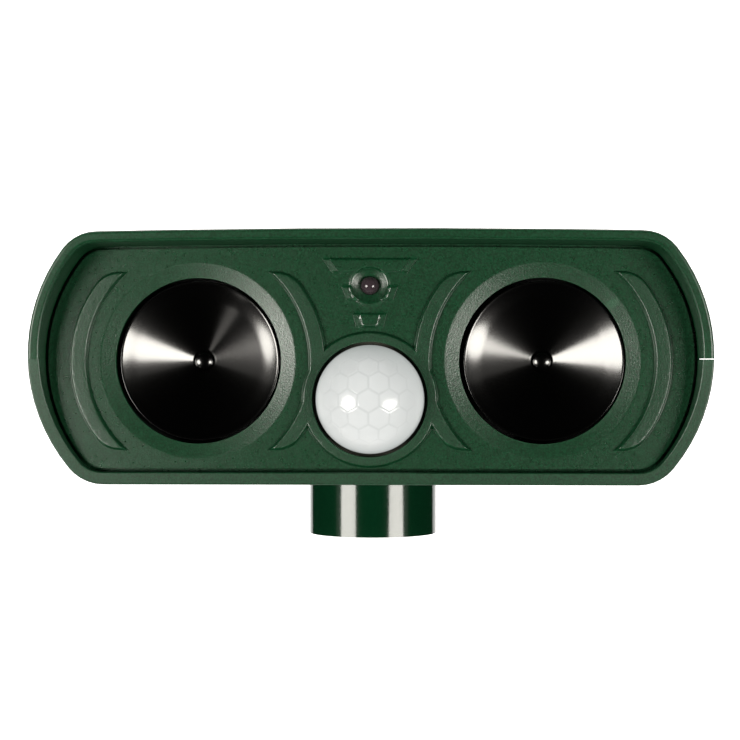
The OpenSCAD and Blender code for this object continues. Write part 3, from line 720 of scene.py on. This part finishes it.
CONE_LIP, CONE_R, CONE_WALL = 0.12, 21.55, 0.5
CONE_STEP, CONE_SLOPE = 0.3, 28
CONE_FLARE, FLARE_FROM, FLARE_SPAN = 3.2, 16.8, 4.6
DOME_R, DOME_RISE, DOME_FOOT, DOME_BACK = 2.85, 1.5, 0.18, 1.15
LENS_R, LENS_WALL, LENS_STEPS, LENS_ROWS = 15.0, 0.8, 300, 105
LENS_FLANGE_R = 17.8
LENS_CELL, CELL_DISH, CELL_GROOVE, GROOVE_WIDTH = 3.35, 0.045, 0.05, 0.36
LAMP_R = 2.5


def cone_profile(rim_r):
    """A cone's section of (radius, forward) points: lip, flared cone, centre dome, then the back."""
    front = arc_points(rim_r - CONE_LIP, -CONE_LIP, CONE_LIP, 0, 90, 4)
    r, forward = CONE_R, 0.0
    front.append((r, forward))
    while r - CONE_STEP > DOME_R + 0.25:
        flare = math.sin(math.pi * min(1, max(0, (r - FLARE_FROM) / FLARE_SPAN)))
        slope = math.radians(CONE_SLOPE - CONE_FLARE * flare)
        r, forward = r - CONE_STEP, forward - CONE_STEP * math.tan(slope)
        front.append((r, forward))
    foot = forward - DOME_FOOT
    for degrees in range(0, 91, 15):
        a = math.radians(degrees)
        front.append((DOME_R * math.cos(a), foot + DOME_RISE * math.sin(a)))
    back = [(0, foot - DOME_BACK), (DOME_R, foot - DOME_BACK), (DOME_R + 0.3, foot + 0.05 - CONE_WALL)]
    back += [(16.5, -2.1 - CONE_WALL), (20.4, -0.6 - CONE_WALL), (rim_r - 0.1, -CONE_WALL)]
    return front + back


def make_cones():
    for side in ("left", "right"):
        node = side + "_speaker_cone"
        low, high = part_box(node)
        middle = Vector(((low[0] + high[0]) / 2, low[1], (low[2] + high[2]) / 2))
        profile = cone_profile((high[0] - low[0]) / 2 / MM)
        piece = lathe(side + "_cone", profile, middle, 160, MATS["cone_metal"])
        claim(piece, node)


def cell_at(u, v):
    """Relief in mm and nearness to a border, 0 to 1, in the lens's honeycomb of cells."""
    rows = (Vector((1, 0)), Vector((0.5, 0.75 ** 0.5)), Vector((-0.5, 0.75 ** 0.5)))
    width = LENS_CELL * 3 ** 0.5
    row = round(v / (1.5 * LENS_CELL))
    best = None
    for k in (row - 1, row, row + 1):
        shift = 0.5 * (k % 2)
        mid = Vector(((round(u / width - shift) + shift) * width, k * 1.5 * LENS_CELL))
        away = Vector((u, v)) - mid
        if best is None or away.length < best.length:
            best = away
    border = width / 2 - max(abs(best.dot(way)) for way in rows)
    flat = 1 - min(1, best.length / LENS_CELL) ** 2
    near = math.exp(-((border / GROOVE_WIDTH) ** 2))
    return -CELL_DISH * flat - CELL_GROOVE * near ** 5, near


def lens_rings(bm, middle, back):
    """The lens's rings, and how near the front's vertices are to a cell border.

    The flange's rear face is back mm behind middle, the dome's centre.
    """

    def place(a, b, reach):
        flat = reach * math.sin(a)
        return middle + Vector((flat * math.cos(b), -reach * math.cos(a), flat * math.sin(b))) * MM

    rings = [[bm.verts.new(place(0, 0, LENS_R + cell_at(0, 0)[0]))]]
    near = [0.0]
    for i in range(1, LENS_ROWS + 1):
        a = math.pi / 2 * i / LENS_ROWS
        fade = min(1, (LENS_ROWS - i) / 8)
        ring = []
        for k in range(LENS_STEPS):
            b = 2 * math.pi * k / LENS_STEPS
            relief, border = cell_at(LENS_R * a * math.cos(b), LENS_R * a * math.sin(b))
            # The nearness fades out towards the rim, so the painted shade along the cell borders fades
            # with it.
            near.append(border * max(0, 1 - (a / 1.1) ** 2))
            ring.append(bm.verts.new(place(a, b, LENS_R + fade * relief)))
        rings.append(ring)
    inner_r, step = LENS_R - LENS_WALL, back - 1
    skirt = [(LENS_R, step - 0.3), (LENS_R + 0.3, step), (LENS_FLANGE_R, step), (LENS_FLANGE_R, back)]
    skirt.append((inner_r, back))
    skirt += [(x, -y) for x, y in arc_points(0, 0, inner_r, 0, 90, 16)[:-1]]
    for r, y in skirt:
        turns = [2 * math.pi * k / LENS_STEPS for k in range(LENS_STEPS)]
        places = [Vector((r * math.cos(b), y, r * math.sin(b))) for b in turns]
        rings.append([bm.verts.new(middle + place * MM) for place in places])
    rings.append([bm.verts.new(middle - Vector((0, inner_r, 0)) * MM)])
    return rings, near


def make_lens():
    low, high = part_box("pir_lens")
    middle = Vector((LENS.x, low[1] + LENS_R * MM, LENS.z))
    bm = bmesh.new()
    rings, near = lens_rings(bm, middle, (high[1] - middle.y) / MM)
    join_rings(bm, zip(rings, rings[1:]), LENS_STEPS)
    # Faces behind the plate's face take the dark copy: painted shade, as the flange lies in shadow
    # there.
    for face in bm.faces:
        if face.calc_center_median().y > PLATE_FACE_Y + 0.001:
            face.material_index = 1
    piece = link_mesh("sensor_lens", bm)
    piece.data.materials.append(MATS["milky_plastic"])
    piece.data.materials.append(MATS["flange_painted_shade"])
    near += [0.0] * (len(piece.data.vertices) - len(near))
    piece.data.attributes.new("cell_border", "FLOAT", "POINT").data.foreach_set("value", near)
    smooth_by_angle(piece.data, 50)
    claim(piece, "pir_lens")


def make_lamp():
    low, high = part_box("status_lamp")
    middle = Vector((LAMP.x, high[1], LAMP.z))
    length = (high[1] - low[1]) / MM
    profile = [(0, 0), (LAMP_R - 0.05, 0), (LAMP_R, 0.05), (LAMP_R, length - LAMP_R)]
    profile += arc_points(0, length - LAMP_R, LAMP_R, 10, 80, 7) + [(0, length)]
    piece = lathe("lamp_bulb", profile, middle, 48, MATS["clear_lamp"], closed=False)
    claim(piece, "status_lamp")


# ---- the inlet cap on its strap, in mm ----

CAP_HIGH = 2.0
TONGUE_HALF = (0.4, 1.98)
HINGE_HALF = (0.26, 1.8)


def add_strip(bm, x_stops, half_y, half_z, middle):
    """A closed strip along X with bevelled long edges; x_stops are metres, half sizes mm."""
    in_y, in_z = half_y - 0.15, half_z - 0.15
    section = [(in_y, half_z), (half_y, in_z), (half_y, -in_z), (in_y, -half_z)]
    section += [(-y, -z) for y, z in section]
    rings = [
        [bm.verts.new((x, middle.y + y * MM, middle.z + z * MM)) for y, z in section]
        for x in x_stops
    ]
    for end in (rings[0], rings[-1]):
        bm.faces.new(end)
    join_rings(bm, list(zip(rings, rings[1:])), len(section))


def cap_profile(cap_r):
    """The cap's section of (radius, forward) points: plug, seat, round edge, dished top."""
    plug_r, plug_long, plug_cut, edge_r = 2.25, 1.15, 0.35, 0.6
    profile = [(0, plug_long), (plug_r - plug_cut, plug_long), (plug_r, plug_long - plug_cut)]
    profile += [(plug_r, 0), (cap_r - 0.4, 0), (cap_r, -0.4), (cap_r, edge_r - CAP_HIGH)]
    profile += arc_points(cap_r - edge_r, edge_r - CAP_HIGH, edge_r, 0, -90, 5)[1:]
    return profile + [(4.9, -CAP_HIGH), (4.55, -1.85), (4.3, -1.5), (0, -1.35)]


def make_inlet_cap():
    """The rubber cap with a dished top, its tongue, and the strap, finely divided at its hinge."""
    low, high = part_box("dc_port_cap")
    middle = Vector((0, high[1] - CAP_HIGH * MM, (low[2] + high[2]) / 2))
    profile = cap_profile((high[2] - low[2]) / 2 / MM)
    cap = lathe("inlet_cap_disc", profile, middle, 72, MATS["black_rubber"], closed=False)
    bm = bmesh.new()
    bm.from_mesh(cap.data)
    tongue_mid = middle + Vector((0, CAP_HIGH / 2 * MM, 0))
    add_strip(bm, (0.0055, high[0] - 0.0003, high[0]), *TONGUE_HALF, tongue_mid)
    bm.to_mesh(cap.data)
    bm.free()
    smooth_by_angle(cap.data, 40)
    claim(cap, "dc_port_cap")

    post_low, post_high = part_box("dc_cap_strap")
    hinge_x, end_x = high[0] + 0.0007, post_high[0]
    bm = bmesh.new()
    stops = [high[0] - 0.0005 + 0.00025 * k for k in range(13)]
    add_strip(bm, stops, *HINGE_HALF, tongue_mid)
    stops = (hinge_x + 0.001, hinge_x + 0.0013, end_x - 0.0003, end_x)
    add_strip(bm, stops, *TONGUE_HALF, tongue_mid)
    strap = link_mesh("inlet_cap_strap", bm)
    post = lathe(
        "strap_post", [(0, 0), (1.8, 0), (1.8, -2.7), (1.5, -2.95), (0, -2.95)],
        Vector((hinge_x + 0.0026, post_low[1], middle.z)), 40, MATS["black_rubber"], closed=False,
    )
    bm = bmesh.new()
    bm.from_mesh(strap.data)
    bm.from_mesh(post.data)
    bm.to_mesh(strap.data)
    bm.free()
    bpy.data.objects.remove(post)
    strap.data.materials.append(MATS["black_rubber"])
    smooth_by_angle(strap.data, 40)
    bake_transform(strap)
    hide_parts("dc_cap_strap")


# ---- the CAD's own nodes, the stage and the whole scene ----


def dress_nodes():
    """Gives every CAD node, shown or replaced, the material of its slot."""
    for node, obj in NODES.items():
        for slot in obj.material_slots:
            slot.link = "OBJECT"
            slot.material = MATS[SLOT_OF[node]]


def make_stage():
    corners = ((-1, 0), (1, 0), (1, 1), (-1, 1))
    long, tall = STAGE_BACK - FLOOR_FRONT, DROP_TOP - DROP_LOW
    floor = quad("floor", [(u * FLOOR_HALF, FLOOR_FRONT + v * long, FLOOR_Z) for u, v in corners])
    floor.data.materials.append(Shade("floor_pale", (0.8, 0.8, 0.8), 0.7).mat)
    drop = quad("backdrop", [(u * DROP_HALF, STAGE_BACK, DROP_LOW + v * tall) for u, v in corners])
    glow = Shade("backdrop_white", (1, 1, 1), 0.9)
    glow.set("Emission Color", (1, 1, 1, 1))
    glow.set("Emission Strength", 1.0)
    drop.data.materials.append(glow.mat)


MATS = make_materials()
make_camera()
make_world()
make_lights()
make_stage()
dress_nodes()
shell("upper_shell", "upper_housing", [MATS["housing_plastic"]], 0.9)
shell("lower_shell", "lower_housing", [MATS["housing_textured"], MATS["socket_gloss"]], 0.5)
make_plate()
make_cones()
make_lens()
make_lamp()
for node in ("sensitivity_knob", "frequency_knob"):
    refined(node, node + "_fluted", 0.2, MATS["knob_plastic"])
refined("battery_door", "battery_cover_panel", 0.3, MATS["housing_textured"])
refined("battery_door_screws", "battery_cover_screws", 0.12, MATS["screw_steel"])
refined("switch_slider", "mode_slider_button", 0.15, MATS["black_plastic"])
refined("switch_body", "mode_switch_case", 0.15, MATS["plated_steel"])
refined("dc_jack", "dc_inlet_socket", 0.15, MATS["black_plastic"])
make_inlet_cap()

bpy.context.scene.view_settings.view_transform = "Standard"
